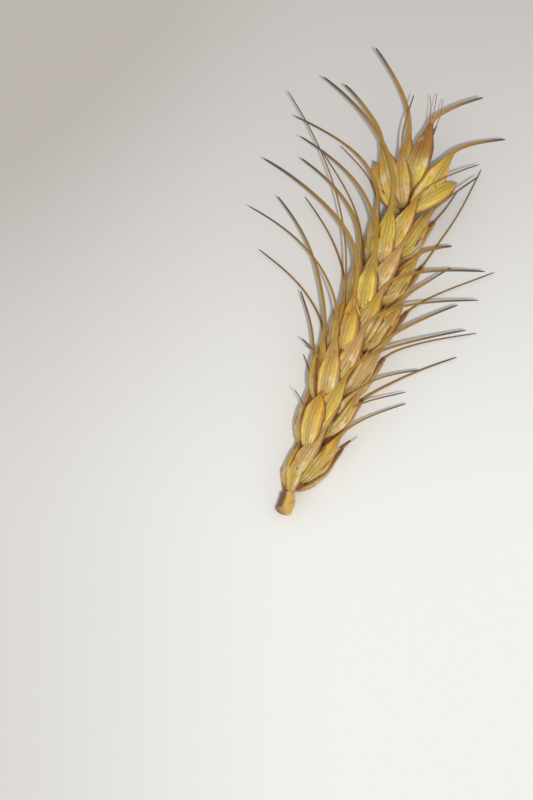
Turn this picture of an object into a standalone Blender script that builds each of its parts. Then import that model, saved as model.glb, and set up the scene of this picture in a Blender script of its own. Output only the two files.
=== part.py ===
# A bearded wheat ear, cut with a short stub of stalk and lying on a surface.
# Shapes are worked out in millimetres: x across the ear, y along it from the
# lowest spikelet towards the tip, z up from the surface. They are written in metres.

import math

import bmesh
import bpy
from mathutils import Matrix, Vector

MM = 0.001

# The stalk and the rachis, the jointed axis that carries the spikelets.
STALK_LENGTH = 4.8
STALK_RADIUS = 1.65
AXIS_BOW = 1.6
AXIS_SPAN = 87.0
STALK_HEIGHT = 3.1
AXIS_HEIGHT = 5.3
AXIS_RISE_LENGTH = 14.0
RACHIS_LENGTH = 66.0
RACHIS_HALF_BREADTH = (0.85, 0.6)
RACHIS_HALF_THICKNESS = (0.6, 0.42)
RACHIS_ZIGZAG = 0.3
RACHIS_SIDES = 8
RACHIS_STEP = 2.2
FLATTEN_START = -2.2
FLATTEN_LENGTH = 2.6

# The rule that places the spikelets: left and right in turn, further apart towards the tip.
LEFT = -1
RIGHT = 1
FIRST_NODE = -1.8
INTERNODE = 4.6
INTERNODE_GROWTH = 0.15
# The right row sits closer to the foot of the ear than midway between the left spikelets.
RIGHT_SHIFT = -2.3
# How far a spikelet starts from the axis and how far it leans, at the foot and from the fifth on.
BASE_CLEARANCE = (0.3, 0.8)
LEAN = {LEFT: (4.0, 12.5), RIGHT: (19.0, 15.0)}
TWIST = {LEFT: 10.0, RIGHT: 20.0}
SLENDER_COUNT = 4

# What would cross an earlier spikelet is cut clear of it: the gap, and how many before it are tried.
GAP = 0.3
CROSSING_SPAN = 3

# One scale of a spikelet: how far along it each ring stands, and its share of the full size.
FLORET_RINGS = ((0.0, 0.36), (0.14, 0.80), (0.40, 1.0), (0.66, 0.86), (0.92, 0.36))
GLUME_RINGS = ((0.0, 0.34), (0.22, 0.87), (0.56, 1.0), (0.88, 0.60))
BODY_SIDES = 8
FLORET_LENGTH = 15.0
FLORET_HALF_WIDTH = 2.3
FLORET_HALF_DEPTH = 1.4
GLUME_LENGTH = 11.0
GLUME_HALF_WIDTH = 2.45
GLUME_HALF_DEPTH = 1.15
GLUME_TOOTH = 1.9
TOOTH_RADIUS = 0.3
BACK_ARCH = 0.9

# The short base that all the scales of a spikelet grow from.
HEEL_RINGS = ((0.0, 0.5), (0.3, 1.0), (0.7, 1.0), (1.0, 0.5))
HEEL_LENGTH = 3.6
HEEL_HALF_WIDTH = 1.0
HEEL_HALF_DEPTH = 1.9

# Where the scales of a side spikelet stand: start along it, start out from its base, start
# across its fan, fan angle, angle outwards, roll of the back outwards, size.
TOP_FLORET = (1.0, -0.8, 0.9, 13.0, -2.0, 10.0, 1.0)
LOW_FLORET = (1.6, -0.3, -1.1, -12.0, 0.0, 15.0, 1.0)
MIDDLE_FLORET = (2.2, 0.1, 0.2, 3.0, 3.0, 60.0, 0.95)
TOP_GLUME = (0.0, -0.8, 1.3, 18.0, 0.0, 15.0, 1.0)
LOW_GLUME = (0.2, -0.3, -1.6, -16.0, 0.0, 25.0, 1.0)

# The awns: square in section, tapering from the floret's tip to a blunt end. An awn holds its
# line for a share of its way, and the line turns towards the ear's own, by the side it ends on.
AWN_ROOT_RADIUS = 0.42
AWN_END_RADIUS = 0.2
AWN_STEPS = 5
AWN_HOLD = {LEFT: 0.45, RIGHT: 0.26}
AWN_UPWARD = {LEFT: 0.3, RIGHT: 0.0}
STUB_LENGTH = 3.0

# The surface presses the lowest scales flat, and the ear rests on the spots where they meet it.
PRESS_HEIGHT = 1.7
FLOOR_CUT = 0.8
AWN_CLEARANCE = 0.1
SLAB = (120.0, 260.0, 10.0)

# Each spikelet's size, then the ends of its awns as (x, y, z): top, middle and low floret.
# None is a floret whose awn has broken off short.
SPIKELETS = (
    (0.76, ((-5.6, 18.6, 10.2), None, None)),
    (0.88, ((15.0, 28.0, 5.0), (15.6, 26.3, 3.5), None)),
    (0.93, ((-8.0, 30.5, 9.6), (-12.5, 43.0, 6.0), (-8.0, 31.5, 1.8))),
    (0.96, ((22.0, 45.5, 5.0), (16.0, 34.0, 4.5), (21.5, 41.0, 1.2))),
    (1.00, ((-28.5, 57.5, 7.5), (-24.0, 62.5, 6.0), (-24.5, 52.0, 1.5))),
    (1.00, ((22.5, 52.0, 6.5), (18.5, 50.5, 5.0), (23.5, 47.5, 1.2))),
    (1.00, ((-29.0, 68.5, 8.5), (-30.0, 86.5, 6.5), (-19.5, 66.5, 1.8))),
    (1.00, ((21.5, 59.0, 6.0), (14.5, 58.0, 5.5), (22.5, 62.0, 1.5))),
    (1.00, ((-23.5, 75.5, 9.0), (-22.0, 71.5, 7.5), (-20.0, 78.0, 2.0))),
    (0.96, ((13.5, 79.0, 7.5), (13.2, 62.5, 6.0), (12.5, 84.0, 2.0))),
    (0.96, ((-23.5, 90.0, 9.5), (-26.5, 80.5, 7.5), (-16.5, 80.0, 2.0))),
    (0.88, ((12.5, 82.5, 6.0), None, (9.5, 77.0, 2.0))),
)

# The terminal spikelet stands at right angles to the others, its fan in the plane of the surface.
TERMINAL_BASE = 66.4
TERMINAL_ASIDE = 0.7
TERMINAL_SIZE = 1.05
TERMINAL_HEIGHT = 6.0
# As for a side spikelet, and the end of the awn.
TERMINAL_FLORETS = (
    (0.6, 0.5, -0.7, -33.0, 1.0, 55.0, 1.0, (-19.0, 90.5, 8.0)),
    (0.6, 0.6, 0.7, 14.0, 2.0, 60.0, 1.0, (15.5, 90.0, 5.5)),
    (0.5, 1.3, -0.3, -21.0, 3.0, 75.0, 0.78, (-5.0, 93.0, 7.5)),
    (4.6, 0.2, 0.0, -4.0, 3.0, 70.0, 1.05, (8.6, 96.5, 8.0)),
    (2.8, -0.6, -0.4, -14.0, 0.0, 50.0, 1.0, (-15.8, 100.5, 8.5)),
)
TERMINAL_GLUMES = (
    (-0.2, -0.2, -0.9, -42.0, 1.0, 60.0, 0.95),
    (-0.4, 1.2, 0.7, 32.0, 2.0, 80.0, 0.9),
)

# The finish of the two kinds of piece.
HUSK_COLOUR = (0.62, 0.42, 0.13, 1.0)
STALK_COLOUR = (0.66, 0.45, 0.14, 1.0)
STRAW_ROUGHNESS = 0.5


def clear_scene():
    for thing in list(bpy.data.objects):
        bpy.data.objects.remove(thing)


def straw(name, colour):
    material = bpy.data.materials.new(name)
    material.use_nodes = True
    shader = material.node_tree.nodes["Principled BSDF"]
    shader.inputs["Base Color"].default_value = colour
    shader.inputs["Roughness"].default_value = STRAW_ROUGHNESS
    shader.inputs["Metallic"].default_value = 0.0
    return material


def smooth_step(share):
    share = min(1.0, max(0.0, share))
    return share * share * (3.0 - 2.0 * share)


def between(ends, share):
    return ends[0] + (ends[1] - ends[0]) * share


def axis_point(y):
    """The middle of the rachis at y: it bows a little to the right and rises from the stalk."""
    bow = AXIS_BOW * math.sin(math.pi * y / AXIS_SPAN) if y > 0.0 else 0.0
    rise = smooth_step((y + STALK_LENGTH) / AXIS_RISE_LENGTH)
    return Vector((bow, y, between((STALK_HEIGHT, AXIS_HEIGHT), rise)))


def node_height(index):
    """Where spikelet number index leaves the rachis, along y."""
    along = INTERNODE * index + INTERNODE_GROWTH * index * (index - 1) / 2.0
    return FIRST_NODE + along + RIGHT_SHIFT * (index % 2)


def pressed(point):
    """A point after the ear has settled: near the surface the height is squeezed, never crossed."""
    x, y, z = point
    if z < PRESS_HEIGHT:
        z = PRESS_HEIGHT * math.exp((z - PRESS_HEIGHT) / PRESS_HEIGHT)
    return Vector((x, y, z))


def ring(centre, across, up, half_width, half_depth, sides):
    points = []
    for k in range(sides):
        angle = 2.0 * math.pi * (k + 0.5) / sides
        points.append(
            centre + across * (half_width * math.cos(angle)) + up * (half_depth * math.sin(angle))
        )
    return points


def skin(name, rings, squeeze=True):
    """A closed mesh over rings of points. A ring may have half as many points as the one before."""
    mesh = bmesh.new()
    made = []
    for points in rings:
        made.append([mesh.verts.new((pressed(p) if squeeze else p) * MM) for p in points])
    for lower, upper in zip(made, made[1:]):
        count = len(lower)
        fold = count // len(upper)
        for k in range(count):
            after = (k + 1) % count
            a, b = lower[k], lower[after]
            c, d = upper[after // fold], upper[k // fold]
            if fold == 1:
                mesh.faces.new((a, b, c))
                mesh.faces.new((a, c, d))
            else:
                mesh.faces.new((a, b, d))
                if c is not d:
                    mesh.faces.new((b, c, d))
    mesh.faces.new(list(reversed(made[0])))
    mesh.faces.new(made[-1])
    bmesh.ops.triangulate(mesh, faces=[f for f in mesh.faces if len(f.verts) > 4])
    bmesh.ops.recalc_face_normals(mesh, faces=mesh.faces)
    data = bpy.data.meshes.new(name)
    mesh.to_mesh(data)
    mesh.free()
    thing = bpy.data.objects.new(name, data)
    bpy.context.scene.collection.objects.link(thing)
    return thing


class Frame:
    """A spikelet's own directions: along it, out from the rachis, and across its fan."""

    def __init__(self, base, along, out, fan, size):
        self.base = base
        self.along = along
        self.out = out
        self.fan = fan
        self.size = size

    def placed(self, start, lift, offset, angle, splay, roll):
        """Root, direction and back of a scale that leans by angle in the fan and splay out of it."""
        turn, away, rolled = math.radians(angle), math.radians(splay), math.radians(roll)
        direction = self.along * math.cos(turn) + self.fan * math.sin(turn)
        direction = direction * math.cos(away) + self.out * math.sin(away)
        side = 1.0 if angle > 0.0 else -1.0
        back = self.fan * (side * math.cos(rolled)) + self.out * math.sin(rolled)
        back = (back - direction * back.dot(direction)).normalized()
        root = self.base + (self.along * start + self.fan * offset + self.out * lift) * self.size
        return root, direction, back


def side_frame(index):
    """The frame of side spikelet number index."""
    side = LEFT if index % 2 == 0 else RIGHT
    size = SPIKELETS[index][0]
    centre = axis_point(node_height(index))
    poise = smooth_step(index / SLENDER_COUNT)
    lean = math.radians(between(LEAN[side], poise))
    twist = math.radians(TWIST[side])
    along = Vector((side * math.sin(lean), math.cos(lean), 0.0))
    out = Vector((side * math.cos(lean), -math.sin(lean), 0.0))
    up = Vector((0.0, 0.0, 1.0))
    fan = up * math.cos(twist) - out * math.sin(twist)
    out = out * math.cos(twist) + up * math.sin(twist)
    base = centre + Vector((side * (between(BASE_CLEARANCE, poise) + RACHIS_ZIGZAG), 0.0, 0.0))
    return Frame(base, along, out, fan, size)


def body_rings(root, direction, back, sizes, stations, grow):
    """Rings round a scale that bows out on its back; grow makes it larger all round."""
    length, half_width, half_depth = sizes
    across = direction.cross(back).normalized()
    rings = []
    for number, (share, swell) in enumerate(stations):
        arch = BACK_ARCH * 4.0 * share * (1.0 - share)
        reach = length * share - (grow if number == 0 else 0.0)
        centre = root + direction * reach + back * arch
        rings.append(
            ring(centre, across, back, half_width * swell + grow, half_depth * swell + grow, BODY_SIDES)
        )
    return rings


def awn_rings(tip, direction, across, end, grow):
    """Square rings along a curve that leaves the floret's tip and sweeps over to the awn's end."""
    reach = (end - tip).length
    side = RIGHT if end.x > tip.x else LEFT
    line = (direction + Vector((0.0, AWN_UPWARD[side], 0.0))).normalized()
    hold = tip + line * (reach * AWN_HOLD[side])
    rings = []
    for step in range(AWN_STEPS + 1):
        share = step / AWN_STEPS
        centre = tip * (1 - share) ** 2 + hold * (2 * share * (1 - share)) + end * share**2
        heading = (hold - tip) * (1 - share) + (end - hold) * share
        heading.normalize()
        across = (across - heading * across.dot(heading)).normalized()
        above = across.cross(heading)
        radius = between((AWN_ROOT_RADIUS, AWN_END_RADIUS), share)
        centre.z = max(pressed(centre).z, FLOOR_CUT + radius + AWN_CLEARANCE)
        if step == AWN_STEPS:
            centre += heading * grow
        rings.append(ring(centre, across, above, radius + grow, radius + grow, 4))
    return rings


def floret(frame, place, awn_end, grow):
    *stance, share = place
    root, direction, back = frame.placed(*stance)
    size = frame.size * share
    length = FLORET_LENGTH * size
    sizes = (length, FLORET_HALF_WIDTH * size, FLORET_HALF_DEPTH * size)
    rings = body_rings(root, direction, back, sizes, FLORET_RINGS, grow)
    rings = [[pressed(p) for p in points] for points in rings]
    tip = pressed(root + direction * length)
    end = tip + direction * (STUB_LENGTH * size) if awn_end is None else Vector(awn_end)
    rings += awn_rings(tip, direction, direction.cross(back), end, grow)
    return skin("floret", rings, squeeze=False)


def glume(frame, place, grow):
    *stance, share = place
    root, direction, back = frame.placed(*stance)
    size = frame.size * share
    length = GLUME_LENGTH * size
    sizes = (length, GLUME_HALF_WIDTH * size, GLUME_HALF_DEPTH * size)
    rings = body_rings(root, direction, back, sizes, GLUME_RINGS, grow)
    across = direction.cross(back).normalized()
    tooth = root + direction * (length + GLUME_TOOTH * size + grow) + back * TOOTH_RADIUS
    rings.append(ring(tooth, across, back, TOOTH_RADIUS + grow, TOOTH_RADIUS + grow, 4))
    return skin("glume", rings)


def heel(frame, grow):
    across = frame.along.cross(frame.fan).normalized()
    rings = []
    for share, swell in HEEL_RINGS:
        centre = frame.base + frame.along * (HEEL_LENGTH * share * frame.size)
        width = HEEL_HALF_WIDTH * swell * frame.size + grow
        depth = HEEL_HALF_DEPTH * swell * frame.size + grow
        rings.append(ring(centre, across, frame.fan, width, depth, BODY_SIDES))
    return skin("heel", rings)


def combined(whole, pieces, operation):
    """Joins pieces to whole, or cuts them from it, in one step."""
    group = bpy.data.collections.new(operation)
    bpy.context.scene.collection.children.link(group)
    for piece in pieces:
        bpy.context.scene.collection.objects.unlink(piece)
        group.objects.link(piece)
    boolean = whole.modifiers.new(operation, "BOOLEAN")
    boolean.operation = operation
    boolean.solver = "MANIFOLD"
    boolean.operand_type = "COLLECTION"
    boolean.collection = group
    bpy.context.view_layer.update()
    graph = bpy.context.evaluated_depsgraph_get()
    data = bpy.data.meshes.new_from_object(whole.evaluated_get(graph))
    whole.modifiers.clear()
    whole.data = data
    for piece in pieces:
        bpy.data.objects.remove(piece)
    bpy.data.collections.remove(group)


def side_pieces(index, grow=0.0):
    """The scales of side spikelet number index, loose."""
    frame = side_frame(index)
    top, middle, low = SPIKELETS[index][1]
    return [
        heel(frame, grow),
        floret(frame, TOP_FLORET, top, grow),
        floret(frame, LOW_FLORET, low, grow),
        floret(frame, MIDDLE_FLORET, middle, grow),
        glume(frame, TOP_GLUME, grow),
        glume(frame, LOW_GLUME, grow),
    ]


def terminal_pieces(grow=0.0):
    base = axis_point(TERMINAL_BASE)
    base.x += TERMINAL_ASIDE
    base.z = TERMINAL_HEIGHT
    along, out, fan = Vector((0.0, 1.0, 0.0)), Vector((0.0, 0.0, 1.0)), Vector((1.0, 0.0, 0.0))
    frame = Frame(base, along, out, fan, TERMINAL_SIZE)
    pieces = [heel(frame, grow)]
    for *place, end in TERMINAL_FLORETS:
        pieces.append(floret(frame, place, end, grow))
    for place in TERMINAL_GLUMES:
        pieces.append(glume(frame, place, grow))
    return pieces


def spikelet(name, pieces, neighbours, material):
    """One closed solid from scales that grow into each other, cut clear of the neighbours."""
    whole = pieces[0]
    combined(whole, pieces[1:], "UNION")
    if neighbours:
        combined(whole, neighbours, "DIFFERENCE")
        keep_largest(whole)
    whole.name = name
    whole.data.name = name
    whole.data.materials.clear()
    whole.data.materials.append(material)
    return whole


def keep_largest(thing):
    """Drops the loose scraps that a cut leaves."""
    mesh = bmesh.new()
    mesh.from_mesh(thing.data)
    left = set(mesh.verts)
    bodies = []
    while left:
        reached = {left.pop()}
        edge = list(reached)
        while edge:
            for link in edge.pop().link_edges:
                for vertex in link.verts:
                    if vertex not in reached:
                        reached.add(vertex)
                        edge.append(vertex)
        left -= reached
        bodies.append(reached)
    largest = max(bodies, key=len)
    scraps = [v for v in mesh.verts if v not in largest]
    bmesh.ops.delete(mesh, geom=scraps, context="VERTS")
    mesh.to_mesh(thing.data)
    mesh.free()


def rachis_cutter():
    return stalk_and_rachis(None, GAP)


def all_spikelets(material):
    count = len(SPIKELETS)
    things = []
    for index in range(count):
        side = "left" if index % 2 == 0 else "right"
        neighbours = [rachis_cutter()]
        for near in range(max(0, index - CROSSING_SPAN), index):
            neighbours += side_pieces(near, GAP)
        name = f"spikelet_{index + 1:02d}_{side}"
        things.append(spikelet(name, side_pieces(index), neighbours, material))
    neighbours = [rachis_cutter()]
    for near in range(count - CROSSING_SPAN, count):
        neighbours += side_pieces(near, GAP)
    name = f"spikelet_{count + 1:02d}_terminal"
    things.append(spikelet(name, terminal_pieces(), neighbours, material))
    return things


def stalk_and_rachis(material, grow=0.0):
    """The round stub of stalk runs on as the flat, gently zigzag rachis."""
    steps = round((RACHIS_LENGTH + STALK_LENGTH) / RACHIS_STEP)
    rings = []
    for step in range(steps + 1):
        y = -STALK_LENGTH + (RACHIS_LENGTH + STALK_LENGTH) * step / steps
        centre = axis_point(y)
        along = max(0.0, y) / RACHIS_LENGTH
        flat = smooth_step((y - FLATTEN_START) / FLATTEN_LENGTH)
        half_x = between((STALK_RADIUS, between(RACHIS_HALF_THICKNESS, along)), flat) + grow
        half_z = between((STALK_RADIUS, between(RACHIS_HALF_BREADTH, along)), flat) + grow
        centre.x += zigzag(y)
        rings.append(
            ring(centre, Vector((1.0, 0.0, 0.0)), Vector((0.0, 0.0, 1.0)), half_x, half_z, RACHIS_SIDES)
        )
    thing = skin("stalk_and_rachis", rings, squeeze=False)
    if material:
        thing.data.materials.append(material)
    return thing


def zigzag(y):
    """Sideways step of the rachis: towards each spikelet at its node."""
    if y < FIRST_NODE:
        return 0.0
    index = 0
    while node_height(index + 1) < y:
        index += 1
    share = (y - node_height(index)) / (node_height(index + 1) - node_height(index))
    start = RACHIS_ZIGZAG if index % 2 else -RACHIS_ZIGZAG
    return start * (1.0 - 2.0 * share)


def below_surface():
    """A slab of everything under the surface that the ear rests on."""
    mesh = bmesh.new()
    bmesh.ops.create_cube(mesh, size=1.0)
    bmesh.ops.scale(mesh, vec=Vector(SLAB) * MM, verts=mesh.verts)
    middle = Vector((0.0, AXIS_SPAN / 2.0, FLOOR_CUT - SLAB[2] / 2.0))
    bmesh.ops.translate(mesh, vec=middle * MM, verts=mesh.verts)
    data = bpy.data.meshes.new("slab")
    mesh.to_mesh(data)
    mesh.free()
    slab = bpy.data.objects.new("slab", data)
    bpy.context.scene.collection.objects.link(slab)
    return slab


def rest_on_surface(things):
    """Cuts small flats where the lowest scales meet the surface, and centres the ear on it."""
    for thing in things:
        combined(thing, [below_surface()], "DIFFERENCE")
    corners = [v.co for thing in things for v in thing.data.vertices]
    low = Vector([min(c[k] for c in corners) for k in range(3)])
    high = Vector([max(c[k] for c in corners) for k in range(3)])
    middle = (low + high) / 2.0
    for thing in things:
        thing.data.transform(Matrix.Translation((-middle.x, -middle.y, -low.z)))


def main():
    clear_scene()
    husk = straw("husk_straw", HUSK_COLOUR)
    stem = straw("stalk_straw", STALK_COLOUR)
    rest_on_surface([stalk_and_rachis(stem), *all_spikelets(husk)])


main()
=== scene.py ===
# A bearded wheat ear with a short stub of its stalk, lying on a pale surface.
import math
import random

import bpy
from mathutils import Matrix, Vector, noise
from mathutils.bvhtree import BVHTree


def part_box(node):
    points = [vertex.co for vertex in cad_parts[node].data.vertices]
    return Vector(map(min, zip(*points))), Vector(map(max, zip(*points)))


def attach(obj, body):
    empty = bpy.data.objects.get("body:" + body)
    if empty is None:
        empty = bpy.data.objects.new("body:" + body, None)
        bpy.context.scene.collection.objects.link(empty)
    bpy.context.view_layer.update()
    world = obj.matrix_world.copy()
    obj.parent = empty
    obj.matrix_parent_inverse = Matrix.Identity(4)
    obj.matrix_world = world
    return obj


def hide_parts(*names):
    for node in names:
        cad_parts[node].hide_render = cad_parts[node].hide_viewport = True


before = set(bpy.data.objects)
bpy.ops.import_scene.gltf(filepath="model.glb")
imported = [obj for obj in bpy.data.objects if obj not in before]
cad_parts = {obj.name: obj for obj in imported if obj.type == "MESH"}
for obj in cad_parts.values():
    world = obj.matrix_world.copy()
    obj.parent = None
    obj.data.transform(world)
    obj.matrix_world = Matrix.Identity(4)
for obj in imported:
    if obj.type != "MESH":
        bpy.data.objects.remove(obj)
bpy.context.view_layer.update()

# every length below is in millimetres; the meshes are in metres
mm = 0.001
left, right = -1, 1

# the stalk and the thin axis that carries the spikelets
stalk = {
    "length": 4.8,
    "radius": 1.65,
    "cadSides": 8,
    "height": 3.1,  # of its middle above the surface, before the ear settles
    "axisHeight": 5.3,
    "riseLength": 14.0,
    "bow": 1.6,  # how far the axis bends to the right
    "bowSpan": 87.0,
    "axisLength": 66.0,
    "halfBreadth": (0.85, 0.6),  # of the axis at its foot and at its top
    "halfThickness": (0.6, 0.42),
    "flattenFrom": -2.2,
    "flattenOver": 2.6,
    "zigzag": 0.3,
    "sides": 24,
    "stubStep": 0.4,  # from ring to ring, as far as the end of the stub
    "stubEnd": 2.0,
    "axisStep": 1.1,
    "ribHeight": 0.045,
    "ribsFrom": 0.1,  # from the cut end
    "ribsTo": 1.5,
    "sharpAngle": 50.0,  # an edge that folds further than this stays sharp
    "notedLength": 12.0,  # along which the finish counts from 0 to 1
    "leftShadeFrom": 0.01,  # half turns round to the left, where the painted shade on the stub's left side begins
    "leftShadeOver": 0.07,
}

# the rule that sets the spikelets left and right in turn
ear = {
    "firstNode": -1.8,
    "internode": 4.6,
    "internodeGrowth": 0.15,
    "rightShift": -2.3,  # the right row sits closer to the foot than midway between the left ones
    "clearance": (0.3, 0.8),  # from the axis, at the foot of the ear and above it
    "lean": {left: (4.0, 12.5), right: (19.0, 15.0)},  # the same two
    "twist": {left: 10.0, right: 20.0},
    "slenderCount": 4,
    "pressHeight": 1.7,  # below this the surface squeezes the lowest scales
    "floorHeight": 0.8,
    "seed": 14,
}

chance = random.Random(ear["seed"])

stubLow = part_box("stalk_and_rachis")[0]
# the CAD stub has few sides, so its flats stand a little inside its radius
flatShare = math.cos(math.pi / stalk["cadSides"])
earShift = Vector((
    stubLow.x + stalk["radius"] * flatShare * mm,
    stubLow.y + stalk["length"] * mm,
    -ear["floorHeight"] * mm,
))


def smoothStep(share):
    share = min(1.0, max(0.0, share))
    return share * share * (3.0 - 2.0 * share)


def between(ends, share):
    return ends[0] + (ends[1] - ends[0]) * share


def axisPoint(y):
    bow = stalk["bow"] * math.sin(math.pi * y / stalk["bowSpan"]) if y > 0 else 0.0
    rise = smoothStep((y + stalk["length"]) / stalk["riseLength"])
    return Vector((bow, y, between((stalk["height"], stalk["axisHeight"]), rise)))


def nodeAlong(index):
    along = ear["internode"] * index + ear["internodeGrowth"] * index * (index - 1) / 2
    return ear["firstNode"] + along + ear["rightShift"] * (index % 2)


def settled(point):
    # near the surface a scale is squeezed, and it lies flat where it would go below
    x, y, z = point
    soft = ear["pressHeight"]
    if z < soft:
        z = max(ear["floorHeight"], soft * math.exp((z - soft) / soft))
    return Vector((x, y, z))


def letGo():
    if bpy.context.object and bpy.context.object.mode != "OBJECT":
        bpy.ops.object.mode_set(mode="OBJECT")
    bpy.ops.object.select_all(action="DESELECT")


def pickFaces(piece, wanted):
    bpy.ops.object.mode_set(mode="EDIT")
    bpy.ops.mesh.select_mode(type="FACE")
    bpy.ops.mesh.select_all(action="DESELECT")
    bpy.ops.object.mode_set(mode="OBJECT")
    for face in piece.data.polygons:
        face.select = bool(wanted(face))
    bpy.ops.object.mode_set(mode="EDIT")


def pickPoints(piece, wanted):
    bpy.ops.object.mode_set(mode="EDIT")
    bpy.ops.mesh.select_mode(type="VERT")
    bpy.ops.mesh.select_all(action="DESELECT")
    bpy.ops.object.mode_set(mode="OBJECT")
    for point in piece.data.vertices:
        point.select = bool(wanted(point.co))
    bpy.ops.object.mode_set(mode="EDIT")


def finishShell(piece):
    bpy.ops.object.mode_set(mode="EDIT")
    bpy.ops.mesh.select_all(action="SELECT")
    bpy.ops.mesh.normals_make_consistent(inside=False)
    bpy.ops.object.mode_set(mode="OBJECT")
    bpy.ops.object.shade_smooth()


def roundOff(piece):
    soften = piece.modifiers.new("soften", "SUBSURF")
    soften.levels = 1
    soften.render_levels = 1
    bpy.ops.object.modifier_apply(modifier=soften.name)


def drawOut(name, sides, rings):
    # a round section is drawn out along y, ring by ring, its back towards z
    letGo()
    bpy.ops.mesh.primitive_circle_add(
        vertices=sides, radius=mm, fill_type="NGON", rotation=(math.radians(90), 0, 0)
    )
    piece = bpy.context.object
    piece.name = name
    bpy.ops.object.transform_apply(location=True, rotation=True, scale=False)
    bpy.ops.object.mode_set(mode="EDIT")
    bpy.ops.mesh.select_all(action="SELECT")
    along, wide, deep = rings[0]
    bpy.ops.transform.resize(value=(wide, 1, deep), center_override=(0, 0, 0))
    for nextAlong, nextWide, nextDeep in rings[1:]:
        bpy.ops.mesh.extrude_region_move(
            TRANSFORM_OT_translate={"value": (0, (nextAlong - along) * mm, 0)}
        )
        bpy.ops.transform.resize(
            value=(nextWide / wide, 1, nextDeep / deep), center_override=(0, nextAlong * mm, 0)
        )
        along, wide, deep = nextAlong, nextWide, nextDeep
    return piece


def turnOutwards():
    # drawing out leaves the faces turned inwards; the steps that follow need them outwards
    bpy.ops.mesh.select_all(action="SELECT")
    bpy.ops.mesh.normals_make_consistent(inside=False)


def noteHusk(piece, length, drawn):
    # each point keeps its turn from the keel, its share of the scale and its share of the awn,
    # so that the finish follows the surface
    note = piece.data.attributes.new("huskPlace", "FLOAT_VECTOR", "POINT")
    for number, point in enumerate(piece.data.vertices):
        x, y, z = point.co / mm
        turn = abs(math.atan2(x, z)) / math.pi
        if point.normal.x * x + point.normal.z * z < 0:
            turn = 1.0  # the inside of a shell
        onAwn = max(0.0, y - length) / drawn if drawn else 0.0
        note.data[number].vector = (turn, min(1.0, max(0.0, y / length)), min(1.0, onAwn))


# what the backs of the lemma and the glume have in common; turns are degrees from the keel
relief = {
    "keelReach": 0.01,
    "flankTurn": 34,
    "flankReach": 14.0,
    "nerveReach": 5.0,
}


def raiseColumn(piece, degrees, reach, rise, span):
    # lifts the points that stand within reach of that many degrees from the keel
    first, last = span

    def near(co):
        if not first * mm < co.y < last * mm:
            return False
        turn = math.degrees(math.atan2(co.x, co.z))
        return min(abs(turn - degrees), abs(turn + degrees)) < reach

    pickPoints(piece, near)
    bpy.ops.transform.shrink_fatten(value=rise * mm)
    bpy.ops.object.mode_set(mode="OBJECT")


def shapeBack(piece, look):
    # the keel is lifted and the flanks beside it drawn in
    first, last = look["keelSpan"]

    def onKeel(co):
        return abs(co.x) < relief["keelReach"] * mm and co.z > 0 and first < co.y / mm < last

    pickPoints(piece, onKeel)
    bpy.ops.transform.translate(value=(0, 0, look["keelRise"] * mm))
    bpy.ops.object.mode_set(mode="OBJECT")
    raiseColumn(
        piece, relief["flankTurn"], relief["flankReach"], -look["flankDrop"], look["flankSpan"]
    )


def finishScale(piece, look, drawn):
    roundOff(piece)
    for degrees in look["nerveTurns"]:
        raiseColumn(piece, degrees, relief["nerveReach"], look["nerveRise"], look["nerveSpan"])
    finishShell(piece)
    noteHusk(piece, look["length"], drawn)
    return piece


# the lemma, a boat-shaped scale that runs out into an awn; rings are along, half width, half depth
lemma = {
    "sides": 16,
    "length": 15.0,
    "rings": (
        (0.0, 0.45, 0.40),
        (0.8, 1.00, 0.72),
        (2.0, 1.66, 1.00),
        (3.7, 2.20, 1.22),
        (5.6, 2.42, 1.30),
        (7.6, 2.40, 1.26),
        (9.4, 2.16, 1.14),
        (11.0, 1.72, 0.95),
        (12.5, 1.20, 0.76),
        (13.9, 0.78, 0.59),
        (15.0, 0.52, 0.46),
    ),
    "flatInside": 0.8,
    "marginBelow": -0.5,  # faces that point further inwards than this are let in
    "marginSpan": (1.2, 11.5),
    "marginInset": 0.28,
    "marginDepth": 0.16,
    "keelSpan": (2.0, 14.5),
    "keelRise": 0.28,
    "flankSpan": (2.5, 12.0),
    "flankDrop": 0.2,
    "nerveTurns": (34, 68),
    "nerveSpan": (1.5, 13.5),
    "nerveRise": 0.06,
    "arch": 0.9,
    "sink": 0.0,
    "tipDrop": 0.0,
    "awnSteps": 14,
    "awnDrawn": 30.0,  # length of the awn before it is laid along its own route
    "awnEndShare": 0.8,  # of its last ring beside the one before
    "stubSteps": 3,
    "stubDrawn": 6.0,
}


def modelLemma(name, steps, drawn):
    piece = drawOut(name, lemma["sides"], lemma["rings"])
    # the awn goes on from the tip, still straight, and rounds off at its end
    for step in range(steps):
        bpy.ops.mesh.extrude_region_move(
            TRANSFORM_OT_translate={"value": (0, drawn / steps * mm, 0)}
        )
    end = (0, (lemma["length"] + drawn) * mm, 0)
    share = lemma["awnEndShare"]
    bpy.ops.transform.resize(value=(share, 1, share), center_override=end)
    turnOutwards()
    # flatter on the inside, where the kernel's inner scale closes it
    pickPoints(piece, lambda co: co.z < 0 and co.y < lemma["length"] * mm)
    bpy.ops.transform.resize(value=(1, 1, lemma["flatInside"]), center_override=(0, 0, 0))
    first, last = lemma["marginSpan"]

    def inMargin(face):
        return face.normal.z < lemma["marginBelow"] and first < face.center.y / mm < last

    pickFaces(piece, inMargin)
    bpy.ops.mesh.inset(thickness=lemma["marginInset"] * mm, depth=-lemma["marginDepth"] * mm)
    shapeBack(piece, lemma)
    return finishScale(piece, lemma, drawn)


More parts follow.
